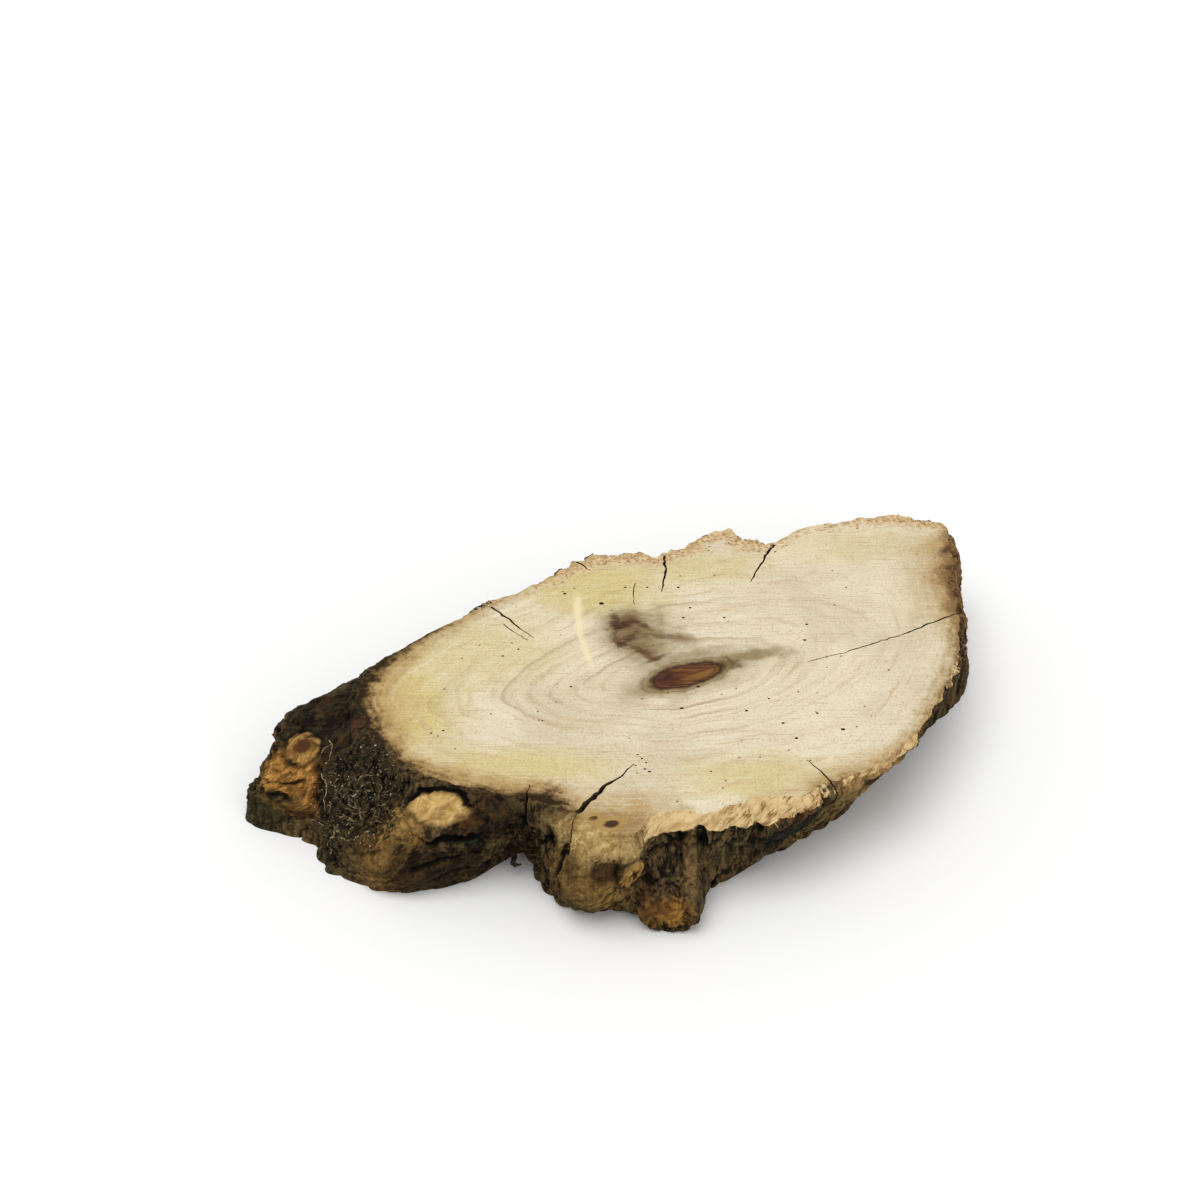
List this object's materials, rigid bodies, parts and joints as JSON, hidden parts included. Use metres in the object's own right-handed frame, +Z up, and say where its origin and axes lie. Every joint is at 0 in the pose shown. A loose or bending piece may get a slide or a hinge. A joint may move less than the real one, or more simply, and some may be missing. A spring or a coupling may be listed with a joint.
{
  "type": "wood slice",
  "caption": "Flat slice of gnarled wood sawn across a trunk, with two sawn faces, a bark edge with burls, a cut branch stub and drying cracks.",
  "frame": {"origin": "middle of the slice's box, on the lower sawn face that it lies on", "axes": "+X along the slice's length towards its straighter end, with the big burls at -X; +Z up from the lower sawn face to the upper one; the branch stub points to -Y"},
  "size_m": [0.1946, 0.149, 0.03],
  "materials": {
    "wood": "dry sawn wood, matt cream on the two faces, with rough dark brown bark round the edge"
  },
  "bodies": {
    "root": {"wood_slice": "wood"}
  },
  "joints": []
}
